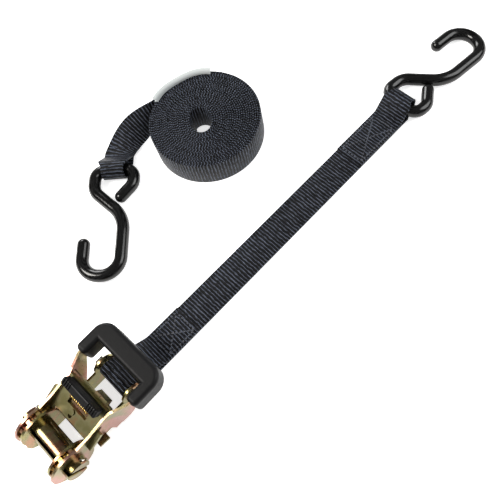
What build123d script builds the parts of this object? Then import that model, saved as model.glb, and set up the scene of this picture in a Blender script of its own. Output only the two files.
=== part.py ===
from build123d import *
import os
from math import acos, asin, atan2, cos, degrees, pi, radians, sin

# A two-piece ratchet strap for 1 inch webbing, in millimetres.
# The ratchet lies closed on the ground plane Z = 0 with its short strap
# running along +X to an S-hook.  The long strap is wound into a coil that
# stands beside it on +Y, with its own S-hook.
# Origin: centre of the ratchet frame's base plate, on the ground.

# ---------------------------------------------------------------- webbing
web_width = 25.4
web_thick = 1.5
lap_gap = 0.05
ground_layer = web_thick / 2
lap_layer = web_thick * 1.5 + lap_gap

# ---------------------------------------------------------- ratchet frame
sheet = 1.8
ear_inside = 14.2
ear_outside = ear_inside + sheet
spool_x, spool_z = -21.0, 18.0
pin_x, pin_z = 37.0, 17.0
ear_radius = 15.5
anchor_lobe_radius = 8.5
plate_low_x, plate_high_x, plate_top = -38.0, 45.5, 17.0
base_plate_length = 18.0

# ------------------------------------------------------------------ spool
spool_radius = 8.5
spool_slot = 3.0
spool_half_length = 27.0
spool_pin_y, spool_pin_radius = 24.0, 1.15
slot_tilt = 35.0
bore_clearance = 0.08
wheel_inside, wheel_outside = 16.4, 18.8
wheel_teeth = 12
wheel_tip = 15.2
notch_radius, notch_circle = 2.6, 14.9

# ----------------------------------------------------------------- handle
cheek_inside = 19.2
cheek_outside = cheek_inside + sheet
cheek_lobe_radius = 16.4
grip_low_x, grip_high_x = 33.0, 61.5
grip_bar_low_x = 46.5
grip_half_width, grip_window = 31.0, 21.5
grip_low_z, grip_high_z = 23.6, 39.0
yoke_y, yoke_end_x = 26.0, 54.0

# ------------------------------------------------------------------ pawls
drive_angle = 27.0
drive_offset = -2.2
drive_thick = 2.4
drive_rest, drive_out = 15.6, 3.0
guide_y = 2.0
bar_length, bar_width, bar_along = 35.0, 6.0, 42.0
lock_angle = -12.0
lock_thick = 2.0
lock_rest, lock_out = 15.8, 3.0

# ------------------------------------------------------------ anchor bolt
bolt_radius, sleeve_radius = 3.0, 4.5
loop_radius = sleeve_radius + 0.3 + web_thick / 2

# ---------------------------------------------------------- short webbing
ratchet_lap_end, ratchet_lap_start = 101.0, 70.0
hook_lap_end, hook_lap_start = 283.0, 331.0
eye_a_x, strap_yaw, hook_a_yaw = 347.1, -0.85, -6.5

# ----------------------------------------------------------------- S-hook
coat_radius, wire_radius = 5.1, 4.1
eye_loop_radius = coat_radius + 1.8 + web_thick / 2
gathered_width = 19.2
eye_loop_z = eye_loop_radius + ground_layer + 0.02
eye_z = eye_loop_z - 0.95
hook_tilt = degrees(asin((eye_z - coat_radius - 0.1) / 90))
eye_half_width, eye_corner = 16.6, 8.0
bend_radius = 15.1
hook_reach = 98.6

# ------------------------------------------------------------ long strap
coil_x, coil_y = 227.5, 103.5
coil_radius, core_length, core_width, core_angle = 47.0, 27.0, 13.0, 54.0
eye_b_x, eye_b_y, hook_b_angle = 149.5, 137.0, 224.0
lap_b_length, tail_bend = 16.0, 16.0
tail_angle, tail_sections = 100.0, 9

os.makedirs("parts", exist_ok=True)


def side_plane(y):
    """Plane at Y = y whose sketch axes are X and Z; it extrudes towards -Y."""
    return Plane.XZ.offset(-y)


def slide_plane(angle, height):
    """Plane through the spool axis, tilted by angle, raised by height along its normal."""
    tilt = radians(angle)
    normal = Vector(-sin(tilt), 0, cos(tilt))
    origin = Vector(spool_x, 0, spool_z) + normal * height
    return Plane(origin=origin, x_dir=(cos(tilt), 0, sin(tilt)), z_dir=normal)


def tangent_point(centre, radius, point, side):
    """Where a line from point touches the circle; side is +1 or -1."""
    dx, dy = point[0] - centre[0], point[1] - centre[1]
    reach = (dx * dx + dy * dy) ** 0.5
    angle = atan2(dy, dx) + side * acos(radius / reach)
    return (centre[0] + radius * cos(angle), centre[1] + radius * sin(angle))


def finish(piece, name):
    """Label one finished piece and write it."""
    piece.part.label = name
    export_step(piece.part, f"parts/{name}.step")


# ============================================================= base frame
# Two side plates with an ear round the spool and a lobe round the anchor
# bolt, joined by a base plate that the ratchet rests on.
plate_centre_x = (plate_low_x + plate_high_x) / 2
with BuildPart() as base_frame:
    for y in (ear_outside, -ear_inside):
        with BuildSketch(side_plane(y)):
            with Locations((plate_centre_x, plate_top / 2)):
                RectangleRounded(plate_high_x - plate_low_x, plate_top, 6)
            with Locations((spool_x, spool_z)):
                Circle(ear_radius)
            with Locations((pin_x, pin_z)):
                Circle(anchor_lobe_radius)
            with Locations((spool_x, spool_z)):
                Circle(spool_radius + bore_clearance, mode=Mode.SUBTRACT)
            with Locations((pin_x, pin_z)):
                Circle(bolt_radius + bore_clearance, mode=Mode.SUBTRACT)
        extrude(amount=sheet)
    with BuildSketch(Plane.XY):
        Rectangle(base_plate_length, 2 * ear_outside)
    extrude(amount=sheet)
    # slots that guide the lock plate
    with BuildSketch(slide_plane(lock_angle, -lock_thick / 2 - 0.2)):
        slot_low, slot_high = lock_rest - 0.3, lock_rest + 12 + lock_out + 0.3
        with Locations(((slot_low + slot_high) / 2, 0)):
            Rectangle(slot_high - slot_low, 2 * ear_outside + 2)
    extrude(amount=lock_thick + 0.4, mode=Mode.SUBTRACT)
finish(base_frame, "base_frame")

# ============================================================ anchor bolt
with BuildPart() as anchor_bolt:
    with BuildSketch(side_plane(ear_outside)):
        with Locations((pin_x, pin_z)):
            Circle(bolt_radius)
    extrude(amount=2 * ear_outside + 6)
    with BuildSketch(side_plane(ear_outside)):
        with Locations((pin_x, pin_z)):
            RegularPolygon(5.6, 6)
    extrude(amount=-3.6)
    head_rim = anchor_bolt.faces().sort_by(Axis.Y)[-1].edges()
    chamfer(head_rim, 0.6)
finish(anchor_bolt, "anchor_bolt")

with BuildPart() as anchor_nut:
    with BuildSketch(side_plane(-ear_outside)):
        with Locations((pin_x, pin_z)):
            RegularPolygon(5.6, 6)
            Circle(bolt_radius, mode=Mode.SUBTRACT)
    extrude(amount=4.6)
    chamfer(anchor_nut.faces().sort_by(Axis.Y)[0].outer_wire().edges(), 0.6)
finish(anchor_nut, "anchor_nut")

with BuildPart() as anchor_sleeve:
    with BuildSketch(side_plane(ear_inside - 0.1)):
        with Locations((pin_x, pin_z)):
            Circle(sleeve_radius)
            Circle(bolt_radius + 0.05, mode=Mode.SUBTRACT)
    extrude(amount=2 * (ear_inside - 0.1))
finish(anchor_sleeve, "anchor_sleeve")

# ============================================================== lock pawl
# A plate that slides in the frame's slots; two tongues reach the wheels
# and two ears stand out past the handle's cheeks.
with BuildPart() as lock_plate:
    with BuildSketch(slide_plane(lock_angle, -lock_thick / 2)):
        body_low, body_high = lock_rest + 2.8, lock_rest + 17
        with Locations(((body_low + body_high) / 2, 0)):
            Rectangle(body_high - body_low, 2 * (ear_inside - 0.3))
        ear_low, ear_high = lock_rest + 3.6, lock_rest + 12
        with Locations(((ear_low + ear_high) / 2, 0)):
            Rectangle(ear_high - ear_low, 2 * (cheek_outside + 3.6))
        with Locations(*[((lock_rest + ear_high) / 2, side * 17.6) for side in (-1, 1)]):
            Rectangle(ear_high - lock_rest, 2.2)
    extrude(amount=lock_thick)
    fillet(lock_plate.edges().filter_by(Axis.Y).group_by(Axis.X)[-1], 0.6)
finish(lock_plate, "lock_plate")

# ================================================================= handle
# Each cheek is flat round the spool, spreads outwards and joins the other
# in a yoke that the rubber grip covers.  A web plate ties the cheeks.
cheek_mid = (cheek_inside + cheek_outside) / 2
with BuildPart() as handle_frame:
    with BuildSketch(Plane.XY):
        with BuildLine() as strip:
            FilletPolyline(
                (spool_x - 20, cheek_mid), (18, cheek_mid), (32, yoke_y), (yoke_end_x, yoke_y),
                (yoke_end_x, -yoke_y), (32, -yoke_y), (18, -cheek_mid), (spool_x - 20, -cheek_mid),
                radius=[6, 6, 7, 7, 6, 6],
            )
        trace(line_width=sheet)
    extrude(amount=50)
    with BuildSketch(side_plane(40)) as cheek_profile:
        with Locations((spool_x, spool_z)):
            Circle(cheek_lobe_radius)
        with BuildLine():
            Polyline(
                (-36.5, 24), (-33, 28), (-17, 31), (0, 32), (11, 35), (22, 37), (34, 37),
                (62, 37), (62, 26), (33, 25), (27, 16), (19, 7), (13, 7), (11, 17), (-6, 17), (-21, 18),
                close=True,
            )
        make_face()
        with Locations((spool_x, spool_z)):
            Circle(spool_radius + bore_clearance, mode=Mode.SUBTRACT)
    extrude(amount=80, mode=Mode.INTERSECT)
    with BuildSketch(slide_plane(drive_angle, drive_offset - drive_thick / 2 - 0.2 - sheet)):
        with Locations((33.6, 0)):
            Rectangle(26, 2 * cheek_inside + 1)
        with Locations((48.3, -10.5)):
            Rectangle(4.6, 11)
    extrude(amount=sheet)
    with BuildSketch(slide_plane(drive_angle, drive_offset - drive_thick / 2 - 0.2)):
        with Locations((49.7, -10.5)):
            Rectangle(sheet, 11)
    extrude(amount=3.4)
    # inclined slots that guide the drive pawl
    with BuildSketch(slide_plane(drive_angle, drive_offset - drive_thick / 2 - 0.2)):
        slot_low, slot_high = drive_rest - 0.4, drive_rest + 14 + drive_out + 0.4
        with Locations(*[((slot_low + slot_high) / 2, side * cheek_mid) for side in (-1, 1)]):
            Rectangle(slot_high - slot_low, sheet + 1)
    extrude(amount=drive_thick + 0.4, mode=Mode.SUBTRACT)
finish(handle_frame, "handle_frame")

with BuildPart() as rubber_grip:
    grip_mid_x = (grip_low_x + grip_high_x) / 2
    with BuildSketch(Plane.XY.offset(grip_low_z)):
        with Locations((grip_mid_x, 0)):
            Rectangle(grip_high_x - grip_low_x, 2 * grip_half_width)
        with Locations(((grip_low_x + grip_bar_low_x) / 2, 0)):
            Rectangle(grip_bar_low_x - grip_low_x, 2 * grip_window, mode=Mode.SUBTRACT)
    extrude(amount=grip_high_z - grip_low_z)
    uprights = rubber_grip.edges().filter_by(Axis.Z)
    fillet(uprights.group_by(Axis.X)[-1], 11)
    fillet(rubber_grip.edges().filter_by(Axis.Z).group_by(Axis.X)[0], 3.5)
    fillet(rubber_grip.faces().sort_by(Axis.Z)[-1].edges(), 3)
    with BuildSketch(Plane.XY):
        with BuildLine():
            FilletPolyline(
                (spool_x - 20, cheek_mid), (18, cheek_mid), (32, yoke_y), (yoke_end_x, yoke_y),
                (yoke_end_x, -yoke_y), (32, -yoke_y), (18, -cheek_mid), (spool_x - 20, -cheek_mid),
                radius=[6, 6, 7, 7, 6, 6],
            )
        trace(line_width=sheet)
    extrude(amount=37, mode=Mode.SUBTRACT)
finish(rubber_grip, "rubber_grip")

# ============================================================= drive pawl
with BuildPart() as drive_pawl:
    with BuildSketch(slide_plane(drive_angle, drive_offset - drive_thick / 2)):
        with Locations(((drive_rest + 3.3 + 45) / 2, 0)):
            Rectangle(45 - drive_rest - 3.3, 2 * (cheek_inside - 0.3))
        with Locations(*[(drive_rest + 4, side * 17.6) for side in (-1, 1)]):
            Rectangle(8, 2.4)
        with Locations(*[(drive_rest + 7, side * 21.6) for side in (-1, 1)]):
            Rectangle(14, 6.4)
        with Locations((31.5, 0)):
            Rectangle(7, 19, mode=Mode.SUBTRACT)
        with Locations((23.9, guide_y)):
            SlotOverall(7.6, 3.3, mode=Mode.SUBTRACT)
    extrude(amount=drive_thick)
finish(drive_pawl, "drive_pawl")

with BuildPart() as guide_rivet:
    with BuildSketch(slide_plane(drive_angle, drive_offset - drive_thick / 2 - 0.2)):
        with Locations((25.4, guide_y)):
            Circle(1.45)
    extrude(amount=drive_thick + 0.3)
    with BuildSketch(slide_plane(drive_angle, drive_offset + drive_thick / 2 + 0.1)):
        with Locations((25.4, guide_y)):
            Circle(2.3)
    extrude(amount=1.0)
finish(guide_rivet, "guide_rivet")

with BuildPart() as finger_bar:
    with BuildSketch(slide_plane(drive_angle, drive_offset + drive_thick / 2)):
        with Locations((bar_along, 0)):
            Rectangle(bar_width - 2, bar_length - 3)
    extrude(amount=3.0)
    with BuildSketch(slide_plane(drive_angle, 1.8)):
        with Locations((bar_along, 0)):
            RectangleRounded(bar_width, bar_length, 1.5)
    extrude(amount=5.2)
    top = finger_bar.faces().sort_by(Axis((0, 0, 0), slide_plane(drive_angle, 0).z_dir))[-1]
    fillet(top.edges(), 1.0)
    # grip grooves at both ends
    with BuildSketch(slide_plane(drive_angle, 6.1)):
        for side in (-1, 1):
            with Locations((bar_along, side * (bar_length / 2 - 5.2))):
                with GridLocations(0, 2.0, 1, 4):
                    Rectangle(bar_width + 1, 0.9)
    extrude(amount=2, mode=Mode.SUBTRACT)
finish(finger_bar, "finger_bar")

# ================================================================== spool
slot_plane = Plane(origin=(spool_x, 0, spool_z), x_dir=(1, 0, 0), z_dir=(0, -1, 0))
pin_plane = Plane(
    origin=(spool_x, 0, spool_z),
    x_dir=(0, 1, 0),
    z_dir=(cos(radians(slot_tilt)), 0, sin(radians(slot_tilt))),
)


def spool_half_sketch(side, grow=0.0):
    """One half-round of the spool; side picks the half, grow widens its outline."""
    with Locations(Location((0, 0), slot_tilt)):
        Circle(spool_radius)
        with Locations((-side * (spool_radius - spool_slot / 2), 0)):
            Rectangle(2 * spool_radius, 2 * spool_radius + 1, mode=Mode.SUBTRACT)


for side, name in ((1, "spool_half_upper"), (-1, "spool_half_lower")):
    with BuildPart() as spool_half:
        with BuildSketch(slot_plane.offset(-spool_half_length)):
            spool_half_sketch(side)
        extrude(amount=2 * spool_half_length)
        ends = spool_half.faces().sort_by(Axis.Y)
        chamfer(ends[0].edges() + ends[-1].edges(), 0.6)
        with BuildSketch(pin_plane):
            with Locations((spool_pin_y, 0), (-spool_pin_y, 0)):
                Circle(spool_pin_radius + 0.05)
        extrude(amount=spool_radius + 1, both=True, mode=Mode.SUBTRACT)
    finish(spool_half, name)

for side, name in ((1, "ratchet_wheel_left"), (-1, "ratchet_wheel_right")):
    with BuildPart() as wheel:
        near = wheel_outside if side > 0 else -wheel_inside
        with BuildSketch(slot_plane.offset(-near)):
            Circle(wheel_tip)
            with PolarLocations(notch_circle, wheel_teeth, start_angle=lock_angle):
                Circle(notch_radius, mode=Mode.SUBTRACT)
            with Locations(Location((0, 0), slot_tilt)):
                for half in (1, -1):
                    with BuildSketch(mode=Mode.PRIVATE) as bore:
                        Circle(spool_radius)
                        with Locations((-half * (spool_radius - spool_slot / 2), 0)):
                            Rectangle(2 * spool_radius, 2 * spool_radius + 1, mode=Mode.SUBTRACT)
                    add(bore.sketch, mode=Mode.SUBTRACT)
        extrude(amount=wheel_outside - wheel_inside)
    finish(wheel, name)

# Two pins lock the spool halves together outside the cheeks.
for side, name in ((1, "spool_pin_left"), (-1, "spool_pin_right")):
    with BuildPart() as spool_pin:
        with BuildSketch(pin_plane.offset(-spool_radius - 2.2)):
            with Locations((side * spool_pin_y, 0)):
                Circle(spool_pin_radius)
        extrude(amount=2 * spool_radius + 3.2)
        with BuildSketch(pin_plane.offset(spool_radius + 0.2)):
            with Locations((side * spool_pin_y, 0)):
                Circle(2.0)
        extrude(amount=1.6)
    finish(spool_pin, name)

# ================================================================ springs
drive_spring_plane = slide_plane(drive_angle, drive_offset + 0.2)
with BuildPart() as drive_spring:
    helix_start = drive_spring_plane.from_local_coords(Vector(33.0, -8.5, 0))
    turns = Helix(pitch=1.7, height=17, radius=1.15, center=helix_start, direction=(0, 1, 0))
    with BuildSketch(Plane(origin=turns @ 0, z_dir=turns % 0)):
        Circle(0.4)
    sweep(path=turns, is_frenet=True)
finish(drive_spring, "drive_spring")

with BuildPart() as lock_spring:
    turns = Helix(pitch=1.9, height=19, radius=1.6, center=(0, -9.5, sheet + 2.15), direction=(0, 1, 0))
    with BuildSketch(Plane(origin=turns @ 0, z_dir=turns % 0)):
        Circle(0.5)
    sweep(path=turns, is_frenet=True)
finish(lock_spring, "lock_spring")


# ========================================================== short webbing
def extended(start, through, x):
    """Where the line from start through a point reaches x."""
    slope = (through[1] - start[1]) / (through[0] - start[0])
    return (x, start[1] + slope * (x - start[0]))


pin, loop_x = (pin_x, pin_z), pin_x - loop_radius
top_run, low_run = (ratchet_lap_start, lap_layer), (58.0, ground_layer)
pin_top = extended(top_run, tangent_point(pin, loop_radius, top_run, 1), loop_x)
pin_low = extended(low_run, tangent_point(pin, loop_radius, low_run, -1), loop_x)
eye_a, eye_end_x = (eye_a_x, eye_loop_z), eye_a_x + eye_loop_radius
eye_run = (hook_lap_start, lap_layer)
eye_top = extended(eye_run, tangent_point(eye_a, eye_loop_radius, eye_run, -1), eye_end_x)
with BuildPart() as short_webbing:
    with BuildSketch(side_plane(web_width / 2)):
        with BuildLine():
            FilletPolyline(
                (ratchet_lap_end, lap_layer), top_run, pin_top, pin_low, low_run,
                (eye_end_x, ground_layer), eye_top, eye_run, (hook_lap_end, lap_layer),
                radius=[
                    20, loop_radius - 0.05, loop_radius - 0.05, 12,
                    eye_loop_radius - 0.05, eye_loop_radius - 0.05, 4,
                ],
            )
        trace(line_width=web_thick)
    extrude(amount=web_width)
    # the loop is gathered to pass through the hook's eye
    with BuildSketch():
        with BuildLine():
            Polyline(
                (0, web_width / 2), (eye_a_x - 16, web_width / 2), (eye_a_x - 5, gathered_width / 2),
                (eye_a_x + 20, gathered_width / 2), (eye_a_x + 20, -gathered_width / 2),
                (eye_a_x - 5, -gathered_width / 2), (eye_a_x - 16, -web_width / 2),
                (0, -web_width / 2), close=True,
            )
        make_face()
    extrude(amount=40, mode=Mode.INTERSECT)
short_webbing.part = short_webbing.part.rotate(Axis((pin_x, 0, 0), (0, 0, 1)), strap_yaw)
finish(short_webbing, "short_webbing")


# ================================================================= S-hooks
def hook_path(bar, heading, side):
    """Centre line of a hook: short leg, eye, shank and open bend."""
    turn, drop = radians(heading), radians(hook_tilt)
    plane = Plane(
        origin=bar,
        x_dir=(cos(turn) * cos(drop), sin(turn) * cos(drop), -sin(drop)),
        z_dir=(cos(turn) * sin(drop), sin(turn) * sin(drop), cos(drop)),
    )
    far_end = hook_reach - coat_radius
    outline = [
        (25.4, -7.0), (14.0, -eye_half_width), (0, -eye_half_width), (0, eye_half_width),
        (19.0, eye_half_width), (43.5, -10.7), (far_end, -10.7), (far_end, 20.8), (66.2, 20.8),
    ]
    points = [plane.from_local_coords(Vector(u, side * v, 0)) for u, v in outline]
    return FilletPolyline(*points, radius=[10, eye_corner, eye_corner, 14, 28, bend_radius, bend_radius])


def hook_solid(path, radius):
    """A round bar of the given radius along the centre line, with domed ends."""
    with BuildPart() as bar:
        with BuildSketch(Plane(origin=path @ 0, z_dir=path % 0)):
            Circle(radius)
        sweep(path=path)
        with Locations(path @ 0, path @ 1):
            Sphere(radius)
    return bar.part


hooks = {
    "hook_a": hook_path(
        (eye_a_x, (eye_a_x - pin_x) * sin(radians(strap_yaw)), eye_z), hook_a_yaw, 1
    ),
    "hook_b": hook_path((eye_b_x, eye_b_y, eye_z), hook_b_angle, -1),
}
for name, path in hooks.items():
    with BuildPart() as hook_wire:
        add(hook_solid(path, wire_radius))
    finish(hook_wire, name + "_wire")
    with BuildPart() as hook_coating:
        add(hook_solid(path, coat_radius))
        add(hook_solid(path, wire_radius), mode=Mode.SUBTRACT)
    finish(hook_coating, name + "_coating")

# ============================================================= long strap
with BuildPart() as long_webbing_coil:
    with BuildSketch():
        with Locations((coil_x, coil_y)):
            Circle(coil_radius)
            SlotOverall(core_length, core_width, rotation=core_angle, mode=Mode.SUBTRACT)
    extrude(amount=web_width)
finish(long_webbing_coil, "long_webbing_coil")

# The free end: on edge where it leaves the coil, flat where it meets the hook.
back = radians(hook_b_angle - 180)
lap_dir = Vector(cos(back), sin(back), 0)
bar_b = Vector(eye_b_x, eye_b_y, 0)
leave = radians(tail_angle)
outward = Vector(cos(leave), sin(leave), 0)
coil_end = Vector(coil_x, coil_y, 0) + outward * (coil_radius + web_thick / 2 + 0.05)
arrive = Vector(sin(leave), -cos(leave), 0)
tail_points = (
    bar_b + lap_dir * (lap_b_length + 0.05),
    bar_b + lap_dir * (lap_b_length + tail_bend),
    coil_end - arrive * tail_bend,
    coil_end,
)
lap_plane = Plane(origin=bar_b + Vector(lap_dir.Y, -lap_dir.X, 0) * (web_width / 2), x_dir=lap_dir,
                  z_dir=(lap_dir.Y, -lap_dir.X, 0))
eye_b, lap_b = (0.0, eye_loop_z), (13.0, lap_layer)
eye_b_top = extended(lap_b, tangent_point(eye_b, eye_loop_radius, lap_b, 1), -eye_loop_radius)
with BuildPart() as long_webbing_loop:
    with BuildSketch(lap_plane):
        with BuildLine():
            FilletPolyline(
                (lap_b_length + 12, ground_layer), (-eye_loop_radius, ground_layer), eye_b_top,
                lap_b, (lap_b_length + 6, lap_layer),
                radius=[eye_loop_radius - 0.05, eye_loop_radius - 0.05, 4],
            )
        trace(line_width=web_thick)
        with Locations((lap_b_length + 15, 0)):
            Rectangle(30, 20, mode=Mode.SUBTRACT)
    extrude(amount=-web_width)
    with BuildSketch(Plane(origin=bar_b, x_dir=lap_dir, z_dir=(0, 0, 1))):
        with BuildLine():
            Polyline(
                (-20, gathered_width / 2), (4, gathered_width / 2), (lap_b_length - 3, web_width / 2 + 0.2),
                (40, web_width / 2 + 0.2), (40, -web_width / 2 - 0.2),
                (lap_b_length - 3, -web_width / 2 - 0.2), (4, -gathered_width / 2),
                (-20, -gathered_width / 2), close=True,
            )
        make_face()
    extrude(amount=40, mode=Mode.INTERSECT)
finish(long_webbing_loop, "long_webbing_loop")

with BuildPart() as long_webbing_tail:
    for i in range(tail_sections):
        t = i / (tail_sections - 1)
        a, b, c, d = (1 - t) ** 3, 3 * t * (1 - t) ** 2, 3 * t * t * (1 - t), t**3
        p, q, r, s = tail_points
        place = p * a + q * b + r * c + s * d
        along = (q - p) * (1 - t) ** 2 + (r - q) * 2 * t * (1 - t) + (s - r) * t * t
        along = along.normalized()
        roll = radians(90) * t * t * (3 - 2 * t)
        across = Vector(-along.Y, along.X, 0)
        wide = across * cos(roll) + Vector(0, 0, 1) * sin(roll)
        rise = (web_width * sin(roll) + web_thick * cos(roll)) / 2
        with BuildSketch(Plane(origin=place + Vector(0, 0, rise), x_dir=wide, z_dir=along)):
            Rectangle(web_width, web_thick)
    loft()
finish(long_webbing_tail, "long_webbing_tail")

# A blank label stands on the coil's outside and leans out above its rim.
label_start = radians(41)
label_plane = Plane(
    origin=(coil_x, coil_y, 0),
    x_dir=(cos(label_start), sin(label_start), 0),
    z_dir=(sin(label_start), -cos(label_start), 0),
)
with BuildPart() as long_strap_label:
    with BuildSketch(label_plane):
        with BuildLine():
            Polyline(
                (coil_radius + 0.1, 12), (coil_radius + 0.1, 19), (coil_radius + 5, 28),
                (coil_radius + 5.4, 27.8), (coil_radius + 0.5, 18.8), (coil_radius + 0.5, 12),
                close=True,
            )
        make_face()
    revolve(axis=Axis((coil_x, coil_y, 0), (0, 0, 1)), revolution_arc=50)
finish(long_strap_label, "long_strap_label")
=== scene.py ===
import math
import random

import bpy
from mathutils import Matrix, Vector


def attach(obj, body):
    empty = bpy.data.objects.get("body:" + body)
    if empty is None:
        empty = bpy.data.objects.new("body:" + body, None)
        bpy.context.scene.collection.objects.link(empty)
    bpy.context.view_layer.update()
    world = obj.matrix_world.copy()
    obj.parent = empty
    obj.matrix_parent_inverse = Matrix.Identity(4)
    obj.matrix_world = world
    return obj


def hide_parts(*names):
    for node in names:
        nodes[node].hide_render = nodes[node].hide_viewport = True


# The looks of a 1 inch ratchet strap around its CAD frame. Shapes are laid out in
# millimetres in the frame's axes and turned into metres with MM.

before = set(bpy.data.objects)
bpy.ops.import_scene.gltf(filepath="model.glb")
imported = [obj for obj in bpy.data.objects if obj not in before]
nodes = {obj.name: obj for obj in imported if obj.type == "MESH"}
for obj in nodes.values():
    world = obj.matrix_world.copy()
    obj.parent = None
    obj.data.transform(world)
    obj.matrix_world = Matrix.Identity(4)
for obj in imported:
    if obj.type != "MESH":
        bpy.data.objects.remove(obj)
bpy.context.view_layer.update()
MM = 0.001

# ------------------------------------------------------------ node helpers


def new_material(name, colour, roughness, metallic=0.0, specular=0.5):
    """A Principled material; returns it with its node tree and shader."""
    mat = bpy.data.materials.new(name)
    mat.use_nodes = True
    tree = mat.node_tree
    shader = tree.nodes["Principled BSDF"]
    shader.inputs["Base Color"].default_value = (*colour, 1)
    shader.inputs["Roughness"].default_value = roughness
    shader.inputs["Metallic"].default_value = metallic
    shader.inputs["Specular IOR Level"].default_value = specular
    return mat, tree, shader


def node(tree, kind, **inputs):
    """Add a node; keywords name its input sockets, those with '_' its properties."""
    made = tree.nodes.new(kind)
    for key, value in inputs.items():
        if key.startswith("_"):
            setattr(made, key[1:], value)
        else:
            made.inputs[key].default_value = value
    return made


def noise(tree, coords, scale, detail=3.0, rough=0.5):
    """Noise factor read from object coordinates."""
    made = node(tree, "ShaderNodeTexNoise", Scale=scale, Detail=detail, Roughness=rough)
    tree.links.new(coords, made.inputs["Vector"])
    return made.outputs["Fac"]


def ramp(tree, fac, stops):
    """Colour ramp with (position, colour) stops."""
    made = tree.nodes.new("ShaderNodeValToRGB")
    bar = made.color_ramp
    while len(bar.elements) < len(stops):
        bar.elements.new(0.5)
    for element, (place, colour) in zip(bar.elements, stops):
        element.position = place
        element.color = (*colour, 1)
    tree.links.new(fac, made.inputs["Fac"])
    return made.outputs["Color"]


def bump(tree, shader, height, strength, distance):
    """Feed a height into the shader's normal."""
    made = node(tree, "ShaderNodeBump", Strength=strength, Distance=distance)
    tree.links.new(height, made.inputs["Height"])
    tree.links.new(made.outputs["Normal"], shader.inputs["Normal"])


def maths(tree, operation, a, b=0.0, c=0.0):
    """One Math node; a, b and c are sockets or numbers."""
    made = tree.nodes.new("ShaderNodeMath")
    made.operation = operation
    for slot_index, value in enumerate((a, b, c)):
        if isinstance(value, (int, float)):
            made.inputs[slot_index].default_value = value
        else:
            tree.links.new(value, made.inputs[slot_index])
    return made.outputs[0]


# ----------------------------------------------------------- mesh helpers


def smooth(mesh, sharp=None):
    """Smooth shading; edges steeper than sharp, in degrees, stay sharp."""
    mesh.polygons.foreach_set("use_smooth", [True] * len(mesh.polygons))
    if sharp is not None:
        mesh.set_sharp_from_angle(angle=math.radians(sharp))


def new_mesh(name, verts, faces):
    """A mesh from vertices in metres."""
    mesh = bpy.data.meshes.new(name)
    mesh.from_pydata(verts, [], faces)
    return mesh


def new_object(name, data):
    """An object linked into the scene."""
    made = bpy.data.objects.new(name, data)
    bpy.context.scene.collection.objects.link(made)
    return made


# --------------------------------------------------------------- materials
PLATING_GRAIN, PLATING_SPREAD, PLATING_DEPTH = 900.0, 0.22, 0.0002
MOULDED_SPREAD, MOULDED_DEPTH = 0.2, 0.0003


def plated(name, stops, roughness, scale=60.0, grain=0.15):
    """Yellow zinc plating: hue drifts through the stops; fine drawn grain."""
    mat, tree, shader = new_material(name, stops[0][1], roughness, 1.0)
    coords = tree.nodes.new("ShaderNodeTexCoord").outputs["Object"]
    hue = noise(tree, coords, scale, 2.0, 0.55)
    tree.links.new(ramp(tree, hue, stops), shader.inputs["Base Color"])
    fine = noise(tree, coords, PLATING_GRAIN, 4.0, 0.6)
    rough = maths(tree, "MULTIPLY_ADD", fine, PLATING_SPREAD, roughness - PLATING_SPREAD / 2)
    tree.links.new(rough, shader.inputs["Roughness"])
    bump(tree, shader, fine, grain, PLATING_DEPTH)
    return mat


mat_frame = plated("plated_frame", [(0.38, (0.28, 0.24, 0.08)), (0.5, (0.24, 0.22, 0.10)),
                                    (0.62, (0.36, 0.19, 0.10))], 0.27, 80.0)
mat_handle = plated("plated_handle", [(0.38, (0.24, 0.22, 0.11)), (0.47, (0.32, 0.21, 0.13)),
                                      (0.56, (0.40, 0.21, 0.17))], 0.30, 45.0)
mat_pawl = plated("plated_pawl", [(0.38, (0.22, 0.20, 0.09)), (0.5, (0.27, 0.25, 0.13)),
                                  (0.62, (0.30, 0.18, 0.09))], 0.34, 90.0)
mat_spool = plated("plated_spool", [(0.38, (0.17, 0.13, 0.05)), (0.5, (0.21, 0.18, 0.09)),
                                    (0.62, (0.20, 0.10, 0.06))], 0.20, 90.0)
mat_wheel = plated("plated_wheel", [(0.38, (0.34, 0.17, 0.04)), (0.50, (0.45, 0.36, 0.12)),
                                    (0.62, (0.40, 0.19, 0.12))], 0.30, 90.0)
mat_bright = plated("bright_steel", [(0.3, (0.78, 0.74, 0.62)), (0.6, (0.85, 0.82, 0.74)),
                                     (0.8, (0.72, 0.66, 0.5))], 0.22, 120.0, 0.05)
mat_spring = plated("spring_gold", [(0.3, (0.80, 0.58, 0.16)), (0.7, (0.88, 0.70, 0.28))], 0.25)


def moulded(name, colour, roughness, grain_scale, grain, specular=0.5):
    """Rubber, plastic, dipped vinyl or label cloth with a fine grain."""
    mat, tree, shader = new_material(name, colour, roughness, 0.0, specular)
    coords = tree.nodes.new("ShaderNodeTexCoord").outputs["Object"]
    fine = noise(tree, coords, grain_scale, 4.0, 0.6)
    rough = maths(tree, "MULTIPLY_ADD", fine, MOULDED_SPREAD, roughness - MOULDED_SPREAD / 2)
    tree.links.new(rough, shader.inputs["Roughness"])
    bump(tree, shader, fine, grain, MOULDED_DEPTH)
    return mat


mat_rubber = moulded("grip_rubber", (0.006, 0.006, 0.0065), 0.46, 500.0, 0.25, 0.16)
mat_plastic = moulded("bar_plastic", (0.005, 0.005, 0.0055), 0.38, 700.0, 0.15, 0.2)
mat_vinyl = moulded("hook_vinyl", (0.0025, 0.0025, 0.0025), 0.17, 160.0, 0.08, 0.4)
mat_label = moulded("label_cloth", (0.62, 0.66, 0.66), 0.6, 900.0, 0.3)
mat_wire = plated("hook_wire", [(0.3, (0.5, 0.5, 0.5)), (0.7, (0.6, 0.6, 0.6))], 0.35)
mat_thread, _, _ = new_material("stitch_thread", (0.06, 0.065, 0.08), 0.5)

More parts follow.
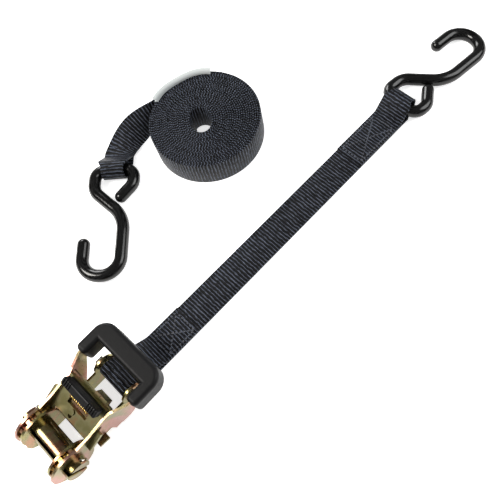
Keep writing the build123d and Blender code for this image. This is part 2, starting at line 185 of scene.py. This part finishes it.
# Weave: metres along the strap, shares of the width across it.
RIB_PITCH, PEARL_PITCH, RIB_WANDER = 2.6 * MM, 2.4 * MM, 1.8 * MM
CORDS_ACROSS, EDGE_START = 22, 0.488
WEAVE_DEPTH, FIBRE_SHARE = 0.6 * MM, 0.3


def webbing_material():
    """Woven nylon: cross ribs along the strap, fine cords over them, pearled edges, with a
    painted sheen: bright blue-grey on the rib crests, patchy, near black in the grooves.
    """
    mat, tree, shader = new_material("black_webbing", (0.010, 0.011, 0.014), 0.45, 0.0, 0.15)
    split = tree.nodes.new("ShaderNodeSeparateXYZ")
    uv = tree.nodes.new("ShaderNodeUVMap")
    uv.uv_map = "weave"
    tree.links.new(uv.outputs["UV"], split.inputs["Vector"])
    across, along = split.outputs["X"], split.outputs["Y"]
    coords = tree.nodes.new("ShaderNodeTexCoord").outputs["Object"]
    wobble = maths(tree, "MULTIPLY", noise(tree, coords, 220.0, 3.0), RIB_WANDER)
    shifted = maths(tree, "ADD", along, wobble)
    wave = maths(tree, "SINE", maths(tree, "MULTIPLY", shifted, 2 * math.pi / RIB_PITCH))
    rib = maths(tree, "MULTIPLY_ADD", wave, 0.5, 0.5)
    cords = maths(tree, "SINE", maths(tree, "MULTIPLY", across, CORDS_ACROSS * math.pi))
    cords = maths(tree, "ABSOLUTE", cords)
    weave = maths(tree, "MULTIPLY", rib, maths(tree, "MULTIPLY_ADD", cords, 0.65, 0.35))
    pearl = maths(tree, "SINE", maths(tree, "MULTIPLY", shifted, 2 * math.pi / PEARL_PITCH))
    pearl = maths(tree, "POWER", maths(tree, "MULTIPLY_ADD", pearl, 0.5, 0.5), 3.0)
    off_middle = maths(tree, "ABSOLUTE", maths(tree, "SUBTRACT", across, 0.5))
    rim = maths(tree, "GREATER_THAN", off_middle, EDGE_START)
    pick = node(tree, "ShaderNodeMix", _data_type="FLOAT")
    tree.links.new(rim, pick.inputs[0])
    tree.links.new(weave, pick.inputs[2])
    tree.links.new(pearl, pick.inputs[3])
    fibre = noise(tree, coords, 2500.0, 3.0, 0.7)
    height = maths(tree, "MULTIPLY_ADD", fibre, FIBRE_SHARE, pick.outputs[0])
    bump(tree, shader, height, 1.0, WEAVE_DEPTH)
    # Painted sheen: a noise makes the crest highlight patchy, and the ramp paints the high
    # crests bright blue-grey and the grooves near black.
    painted_sheen_mask = maths(tree, "ADD", noise(tree, coords, 330.0, 2.0), 0.5)
    lit = maths(tree, "MULTIPLY", height, painted_sheen_mask)
    painted_sheen_tint = ramp(tree, lit, [(0.50, (0.001, 0.001, 0.0014)), (0.80, (0.005, 0.006, 0.009)),
                            (1.0, (0.13, 0.15, 0.20))])
    tree.links.new(painted_sheen_tint, shader.inputs["Base Color"])
    return mat


mat_webbing = webbing_material()

CAD_LOOKS = {
    "base_frame": mat_frame, "anchor_bolt": mat_bright, "anchor_nut": mat_bright,
    "anchor_sleeve": mat_bright, "lock_plate": mat_frame, "lock_spring": mat_spring,
    "handle_frame": mat_handle, "rubber_grip": mat_rubber, "guide_rivet": mat_pawl,
    "drive_spring": mat_spring, "drive_pawl": mat_pawl, "finger_bar": mat_plastic,
    "spool_half_upper": mat_spool, "spool_half_lower": mat_spool,
    "ratchet_wheel_left": mat_wheel, "ratchet_wheel_right": mat_wheel,
    "spool_pin_left": mat_bright, "spool_pin_right": mat_bright,
    "hook_a_wire": mat_wire, "hook_b_wire": mat_wire,
    "hook_a_coating": mat_vinyl, "hook_b_coating": mat_vinyl,
    "long_strap_label": mat_label,
}
CAD_SHARP, CLOTH_SHARP = 32, 50  # degrees
for name, look in CAD_LOOKS.items():
    mesh = nodes[name].data
    mesh.materials.clear()
    mesh.materials.append(look)
    smooth(mesh, CAD_SHARP)

# -------------------------------------------------------------- ribbon tool
WEB_WIDTH, WEB_THICK = 25.4, 1.5
EDGE_CUT = 0.35  # chamfer on the strip's four edges


def ribbon(name, line, wides, widths, thick, body):
    """A strip of webbing: line points, width directions and widths, in millimetres.

    The cross-section is a flat bar with chamfered edges; the weave map runs
    0..1 across and in metres along. Returns the object and its length in metres.
    """
    half_w, half_t = WEB_WIDTH / 2, thick / 2
    profile = [(-half_w, -half_t + EDGE_CUT), (-half_w + EDGE_CUT, -half_t),
               (half_w - EDGE_CUT, -half_t), (half_w, -half_t + EDGE_CUT),
               (half_w, half_t - EDGE_CUT), (half_w - EDGE_CUT, half_t),
               (-half_w + EDGE_CUT, half_t), (-half_w, half_t - EDGE_CUT)]
    count, ring = len(line), len(profile)
    verts, travelled, runs = [], 0.0, []
    for i, (point, wide) in enumerate(zip(line, wides)):
        ahead = line[min(i + 1, count - 1)] - line[max(i - 1, 0)]
        ahead.normalize()
        across = (wide - ahead * wide.dot(ahead)).normalized()
        normal = ahead.cross(across)
        if i:
            travelled += (line[i] - line[i - 1]).length
        runs.append(travelled * MM)
        for a, n in profile:
            verts.append((point + across * a * widths[i] / WEB_WIDTH + normal * n) * MM)
    faces = []
    for i in range(count - 1):
        for k in range(ring):
            j = (k + 1) % ring
            faces.append((i * ring + k, i * ring + j, (i + 1) * ring + j, (i + 1) * ring + k))
    faces.append(tuple(range(ring))[::-1])
    faces.append(tuple((count - 1) * ring + k for k in range(ring)))
    mesh = new_mesh(name, verts, faces)
    weave = mesh.uv_layers.new(name="weave")
    for face in mesh.polygons:
        for loop in face.loop_indices:
            vert = mesh.loops[loop].vertex_index
            a = profile[vert % ring][0]
            weave.data[loop].uv = (a / WEB_WIDTH + 0.5, runs[vert // ring])
    smooth(mesh, CLOTH_SHARP)
    mesh.materials.append(mat_webbing)
    made = new_object(name, mesh)
    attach(made, body)
    return made, travelled * MM


def resample(points, step):
    """Points spaced evenly along a broken line."""
    out, carry = [points[0].copy()], 0.0
    for a, b in zip(points, points[1:]):
        length = (b - a).length
        place = step - carry
        while place <= length:
            out.append(a.lerp(b, place / length))
            place += step
        carry = (carry + length) % step if length else carry
    if (out[-1] - points[-1]).length > 0.2 * step:
        out.append(points[-1].copy())
    return out


def smoothed(points, rounds):
    """Ease the corners of a broken line, ends kept."""
    pts = [p.copy() for p in points]
    for _ in range(rounds):
        pts = [pts[0]] + [
            (pts[i - 1] + pts[i] * 2 + pts[i + 1]) / 4 for i in range(1, len(pts) - 1)
        ] + [pts[-1]]
    return pts


def arc(centre, radius, start, end, count=24):
    """Points on an arc in a side view, angles in degrees."""
    return [
        (centre[0] + radius * math.cos(math.radians(start + (end - start) * i / count)),
         centre[1] + radius * math.sin(math.radians(start + (end - start) * i / count)))
        for i in range(count + 1)
    ]


def tangent(centre, radius, point, side):
    """Angle in degrees at which a line from point touches the circle."""
    dx, dz = point[0] - centre[0], point[1] - centre[1]
    return math.degrees(math.atan2(dz, dx) + side * math.acos(radius / math.hypot(dx, dz)))


# Heights of the strip's middle: on the ground, and as the second layer of a lap.
GROUND, LAP = WEB_THICK / 2, WEB_THICK * 1.5 + 0.1
# Width in the hook's eye, and where the narrowing ends past the hook's bar and
# over what length.
GATHERED, GATHER_PAST, GATHER_RUN = 19.2, 2.0, 7.0
POINT_STEP, EASE_ROUNDS = 0.8, 3


def gathered(before_bar):
    """Width of the webbing at a distance before the hook's bar: it narrows in the eye."""
    share = min(1, max(0, (before_bar + GATHER_PAST) / GATHER_RUN))
    share = share * share * (3 - 2 * share)
    return GATHERED + (WEB_WIDTH - GATHERED) * share


# ---------------------------------------------------------- short webbing
# The side view: x along the strap and height, from the lap at the ratchet round
# the anchor pin, along the ground, round hook A's bar and back over its lap.
PIN, PIN_RADIUS = (37.0, 17.0), 5.55
EYE_RADIUS, EYE_LIFT = 7.65, 0.02
EYE_A = (347.1, EYE_RADIUS + GROUND + EYE_LIFT)
STRAP_YAW = math.radians(-0.85)
PIN_LAP_END, PIN_LAP_MID, EYE_LAP_MID, EYE_LAP_END = 101.0, 84.0, 300.0, 283.0
RUN_MID, RUN_END = 200.0, 341.0
LAP_TOP, LOW_RUN, EYE_LAP = (70.0, LAP), (58.0, GROUND), (331.0, LAP)
SHORT_SLACK, LONG_SLACK = 0.08, 0.15  # taken off the thickness so layers stay apart
pin_up = tangent(PIN, PIN_RADIUS, LAP_TOP, 1)
pin_down = tangent(PIN, PIN_RADIUS, LOW_RUN, -1)
eye_up = tangent(EYE_A, EYE_RADIUS, EYE_LAP, -1) + 360
side_line = [(PIN_LAP_END, LAP), (PIN_LAP_MID, LAP), LAP_TOP]
side_line += arc(PIN, PIN_RADIUS, pin_up, pin_down + 360)
side_line += [LOW_RUN, (RUN_MID, GROUND), (RUN_END, GROUND)]
side_line += arc(EYE_A, EYE_RADIUS, -90, eye_up)
side_line += [EYE_LAP, (EYE_LAP_MID, LAP), (EYE_LAP_END, LAP)]
line = [Vector((x - PIN[0], 0, z)) for x, z in side_line]
line = smoothed(resample(line, POINT_STEP), EASE_ROUNDS)
web_dir = Vector((math.cos(STRAP_YAW), math.sin(STRAP_YAW), 0))
web_side = Vector((-web_dir.y, web_dir.x, 0))
widths = [gathered(EYE_A[0] - PIN[0] - p.x) for p in line]
line = [Vector((PIN[0], 0, 0)) + web_dir * p.x + Vector((0, 0, p.z)) for p in line]
short_web, short_length = ribbon("short_webbing_cloth", line, [web_side] * len(line), widths,
                                 WEB_THICK - SHORT_SLACK, "short_strap")
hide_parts("short_webbing")

# ------------------------------------------------------------- long strap
COIL, COIL_RADIUS = Vector((227.5, 103.5, 0)), 47.0
OUTER_TURN = COIL_RADIUS + 0.1
# The oval core: half length, half width, direction and offset from the coil.
CORE_LONG, CORE_WIDE, CORE_TURN = 12.2, 9.2, math.radians(60.0)
CORE_SHIFT = Vector((-3.8, 1.0, 0))
BAR_B, HEAD_B = Vector((149.5, 137.0, 0)), math.radians(224.0)
BACK = Vector((-math.cos(HEAD_B), -math.sin(HEAD_B), 0))
LAP_B, BEND_B = 16.0, 16.0
LEAVE = math.radians(100.0)  # where the free end leaves the coil
TURNS, STEPS = 22, 80
UP = Vector((0, 0, 1))
RISE_LIMIT, PUSH_LIMIT, RISE_FADE = 0.8, 0.12, 6
random.seed(7)
turn_rise = [random.uniform(-RISE_LIMIT, 0.0) for _ in range(TURNS + 2)]
turn_push = [random.uniform(-PUSH_LIMIT, PUSH_LIMIT) for _ in range(TURNS + 2)]
core_x = Vector((math.cos(CORE_TURN), math.sin(CORE_TURN), 0))
core_y = Vector((-core_x.y, core_x.x, 0))


def between(values, turn, mix):
    """A per-turn value blended towards the next turn's."""
    return values[turn] * (1 - mix) + values[turn + 1] * mix


line = []
for i in range(TURNS * STEPS + 1):
    share = i / (TURNS * STEPS)
    angle = LEAVE - CORE_TURN - (1 - share) * TURNS * 2 * math.pi
    turn, part = divmod(i, STEPS)
    mix = part / STEPS
    push = between(turn_push, turn, mix) * math.sin(math.pi * share)
    reach_x = CORE_LONG + (OUTER_TURN - CORE_LONG) * share + push
    reach_y = CORE_WIDE + (OUTER_TURN - CORE_WIDE) * share + push
    rise = between(turn_rise, turn, mix) * min(1, RISE_FADE * (1 - share))
    centre = COIL + CORE_SHIFT * (1 - share)
    line.append(centre + core_x * reach_x * math.cos(angle) + core_y * reach_y * math.sin(angle)
                + UP * (WEB_WIDTH / 2 + rise))
wides = [UP] * len(line)

leaving = Vector((-math.sin(LEAVE), math.cos(LEAVE), 0))
end_point = line[-1] - UP * line[-1].z
bend = (end_point, end_point + leaving * BEND_B, BAR_B + BACK * (LAP_B + BEND_B),
        BAR_B + BACK * LAP_B)
TAIL_STEPS, LAP_STEPS, NEAR_STEPS = 70, 25, 20


def tail(t):
    """The free end, from coil to hook: a point on the ground and the way across."""
    place = (bend[0] * (1 - t) ** 3 + bend[1] * 3 * t * (1 - t) ** 2
             + bend[2] * 3 * t * t * (1 - t) + bend[3] * t**3)
    ahead = ((bend[1] - bend[0]) * (1 - t) ** 2 + (bend[2] - bend[1]) * 2 * t * (1 - t)
             + (bend[3] - bend[2]) * t * t).normalized()
    return place, Vector((ahead.y, -ahead.x, 0))


for i in range(1, TAIL_STEPS + 1):
    t = i / TAIL_STEPS
    place, flat = tail(t)
    roll = math.radians(90) * (1 - t) ** 2 * (1 + 2 * t)
    line.append(place + UP * ((WEB_WIDTH * math.sin(roll) + WEB_THICK * math.cos(roll)) / 2))
    wides.append(flat * math.cos(roll) + UP * math.sin(roll))

# The loop round hook B's bar, then the lap back over the free end.
loop_centre, loop_start = (0, EYE_RADIUS + GROUND + EYE_LIFT), 4.0
loop_up = tangent(loop_centre, EYE_RADIUS, (LAP_B, LAP), 1)
loop_line = [(LAP_B - 1, GROUND), (loop_start, GROUND)]
loop_line += arc(loop_centre, EYE_RADIUS, 270, loop_up)
loop_line += [(LAP_B, LAP)]
loop_points = [BAR_B + BACK * u + UP * z for u, z in loop_line]
for i in range(1, LAP_STEPS + 1):
    loop_points.append(tail(1 - i / TAIL_STEPS)[0] + UP * (LAP + 0.1 * i / LAP_STEPS))
loop_points = smoothed(resample(loop_points, POINT_STEP), EASE_ROUNDS)
widths = [WEB_WIDTH] * (len(line) - NEAR_STEPS)
widths += [gathered((p - BAR_B).dot(BACK)) for p in line[-NEAR_STEPS:]]
line += loop_points
widths += [gathered((p - BAR_B).dot(BACK)) for p in loop_points]
wides += [wides[-1]] * len(loop_points)
long_web, long_length = ribbon("long_webbing_cloth", line, wides, widths,
                               WEB_THICK - LONG_SLACK, "long_strap")
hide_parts("long_webbing_coil", "long_webbing_tail", "long_webbing_loop")
print("webbing lengths", short_length, long_length)

# ------------------------------------------------------------------ label
# A blank label on the outer turn; its free edge lies over the rim and lifts
# outwards. Rows are (radius, height); the angles are in degrees.
LABEL_FROM, LABEL_TO, LABEL_STEPS = 38.0, 108.0, 40
LABEL_WAVE, WAVE_TURN = 0.35, 9.0
label_rows = [(COIL_RADIUS + 0.95, 14.0), (COIL_RADIUS + 0.95, 24.5), (COIL_RADIUS - 3.6, 25.9),
              (COIL_RADIUS + 2.2, 27.6)]
verts, faces = [], []
for i in range(LABEL_STEPS + 1):
    share = i / LABEL_STEPS
    angle = math.radians(LABEL_FROM + (LABEL_TO - LABEL_FROM) * share)
    wave = LABEL_WAVE * math.sin(share * WAVE_TURN)
    for row, (radius, height) in enumerate(label_rows):
        lift = wave if row > 1 else 0
        verts.append((COIL + Vector((math.cos(angle), math.sin(angle), 0)) * (radius + lift)
                      + UP * (height + lift * 0.6)) * MM)
rows = len(label_rows)
for i in range(LABEL_STEPS):
    for row in range(rows - 1):
        a = i * rows + row
        faces.append((a, a + 1, a + rows + 1, a + rows))
mesh = new_mesh("blank_label", verts, faces)
mesh.materials.append(mat_label)
smooth(mesh)
label = new_object("blank_label", mesh)
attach(label, "long_strap")
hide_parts("long_strap_label")

# --------------------------------------------------------------- stitching
# One stitch: a lump of thread as (distance along, height), and half its width.
LUMP, THREAD_HALF = ((0, -0.1), (0.5, 0.34), (1.4, 0.38), (1.9, -0.1)), 0.5
STITCH_PITCH, STITCH_START, BOX_WIDTH = 3.0, 0.6, 20


def stitches(name, origin, along, across, length, body):
    """A box with a cross sewn in small thread lumps on the top layer."""
    half = BOX_WIDTH / 2
    corners = [(0, -half), (length, -half), (length, half), (0, half)]
    runs = [(corners[k], corners[(k + 1) % 4]) for k in range(4)]
    runs += [(corners[0], corners[2]), (corners[1], corners[3])]
    verts, faces = [], []
    for (u0, v0), (u1, v1) in runs:
        span = math.hypot(u1 - u0, v1 - v0)
        du, dv = (u1 - u0) / span, (v1 - v0) / span
        for k in range(int(span / STITCH_PITCH)):
            s = STITCH_PITCH * k + STITCH_START
            base = len(verts)
            for end, lift in LUMP:
                for side in (-THREAD_HALF, THREAD_HALF):
                    u, v = u0 + du * (s + end) - dv * side, v0 + dv * (s + end) + du * side
                    verts.append((origin + along * u + across * v + Vector((0, 0, lift))) * MM)
            for step in range(len(LUMP) - 1):
                a = base + 2 * step
                faces.append((a, a + 1, a + 3, a + 2))
            faces.append((base, base + 2, base + 4, base + 6))
            faces.append((base + 7, base + 5, base + 3, base + 1))
            faces.append((base + 6, base + 7, base + 1, base))
    mesh = new_mesh(name, verts, faces)
    mesh.materials.append(mat_thread)
    made = new_object(name, mesh)
    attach(made, body)


LAP_SURFACE = LAP + WEB_THICK / 2 - 0.05
for end, start, length in (("ratchet", 73, 25), ("hook", 286, 40)):
    corner = Vector((PIN[0], 0, LAP_SURFACE)) + web_dir * (start - PIN[0])
    stitches(f"stitch_{end}_end", corner, web_dir, web_side, length, "short_strap")

# ------------------------------------------------------ camera and lighting
CAMERA = Vector((74.8, -165.9, 423.3)) * MM
RIGHT = Vector((0.6783, -0.7256, -0.1156))
DOWN = Vector((-0.699, -0.5888, -0.4059))
FORWARD = Vector((0.2265, 0.3561, -0.9066))
cam_data = bpy.data.cameras.new("camera")
cam_data.lens = 43.2
cam_data.sensor_width = 36
cam_data.shift_x = -0.02
cam_data.shift_y = -0.012
cam_data.clip_start = 0.01
camera = new_object("camera", cam_data)
turn = Matrix((RIGHT.normalized(), (-DOWN).normalized(), (-FORWARD).normalized())).transposed()
camera.matrix_world = Matrix.Translation(CAMERA) @ turn.to_4x4()
bpy.context.scene.camera = camera

# Light and dark bands for the metal to reflect; the camera itself sees white.
world = bpy.data.worlds.new("world")
bpy.context.scene.world = world
world.use_nodes = True
sky = world.node_tree
bands = node(sky, "ShaderNodeTexWave", Scale=1.1, Distortion=2.5, Detail=1.0,
             _bands_direction="Y")
sky.links.new(sky.nodes.new("ShaderNodeTexCoord").outputs["Generated"], bands.inputs["Vector"])
glow = ramp(sky, bands.outputs["Fac"], [(0.45, (0.03, 0.03, 0.03)), (0.7, (1, 1, 1))])
sky.links.new(glow, sky.nodes["Background"].inputs["Color"])
sky.nodes["Background"].inputs["Strength"].default_value = 0.5
backdrop = node(sky, "ShaderNodeBackground", Color=(1, 1, 1, 1), Strength=1.0)
choose = sky.nodes.new("ShaderNodeMixShader")
sky.links.new(sky.nodes.new("ShaderNodeLightPath").outputs["Is Camera Ray"], choose.inputs[0])
sky.links.new(sky.nodes["Background"].outputs[0], choose.inputs[1])
sky.links.new(backdrop.outputs[0], choose.inputs[2])
sky.links.new(choose.outputs[0], sky.nodes["World Output"].inputs["Surface"])
bpy.context.scene.view_settings.view_transform = "Standard"

CENTRE = Vector((0.2, 0.05, 0.0))  # metres, near the object's middle


def area_light(name, place, size, power, colour=(1, 1, 1)):
    """A square soft light aimed at the middle of the object, in metres and watts."""
    data = bpy.data.lights.new(name, "AREA")
    data.size, data.energy, data.color = size, power, colour
    lamp = new_object(name, data)
    lamp.location = Vector(place)
    lamp.rotation_euler = (CENTRE - Vector(place)).to_track_quat("-Z", "Y").to_euler()


area_light("key", (-0.45, 0.45, 0.9), 0.45, 13, (1.0, 0.97, 0.92))
area_light("fill", (0.9, -0.5, 0.8), 0.7, 8)
area_light("back", (0.5, 0.9, 0.5), 0.4, 5)

FLOOR_REACH, FLOOR_DROP = 3.0, 0.3 * MM
corners = [(-1, -1), (1, -1), (1, 1), (-1, 1)]
mesh = new_mesh("floor", [(x * FLOOR_REACH, y * FLOOR_REACH, 0) for x, y in corners],
                [(0, 1, 2, 3)])
mat_floor, _, floor_shader = new_material("floor", (0.9, 0.9, 0.9), 0.9, 0.0, 0.0)
floor_shader.inputs["Emission Color"].default_value = (1, 1, 1, 1)
floor_shader.inputs["Emission Strength"].default_value = 0.72
mesh.materials.append(mat_floor)
floor = new_object("floor", mesh)
floor.location.z = -FLOOR_DROP
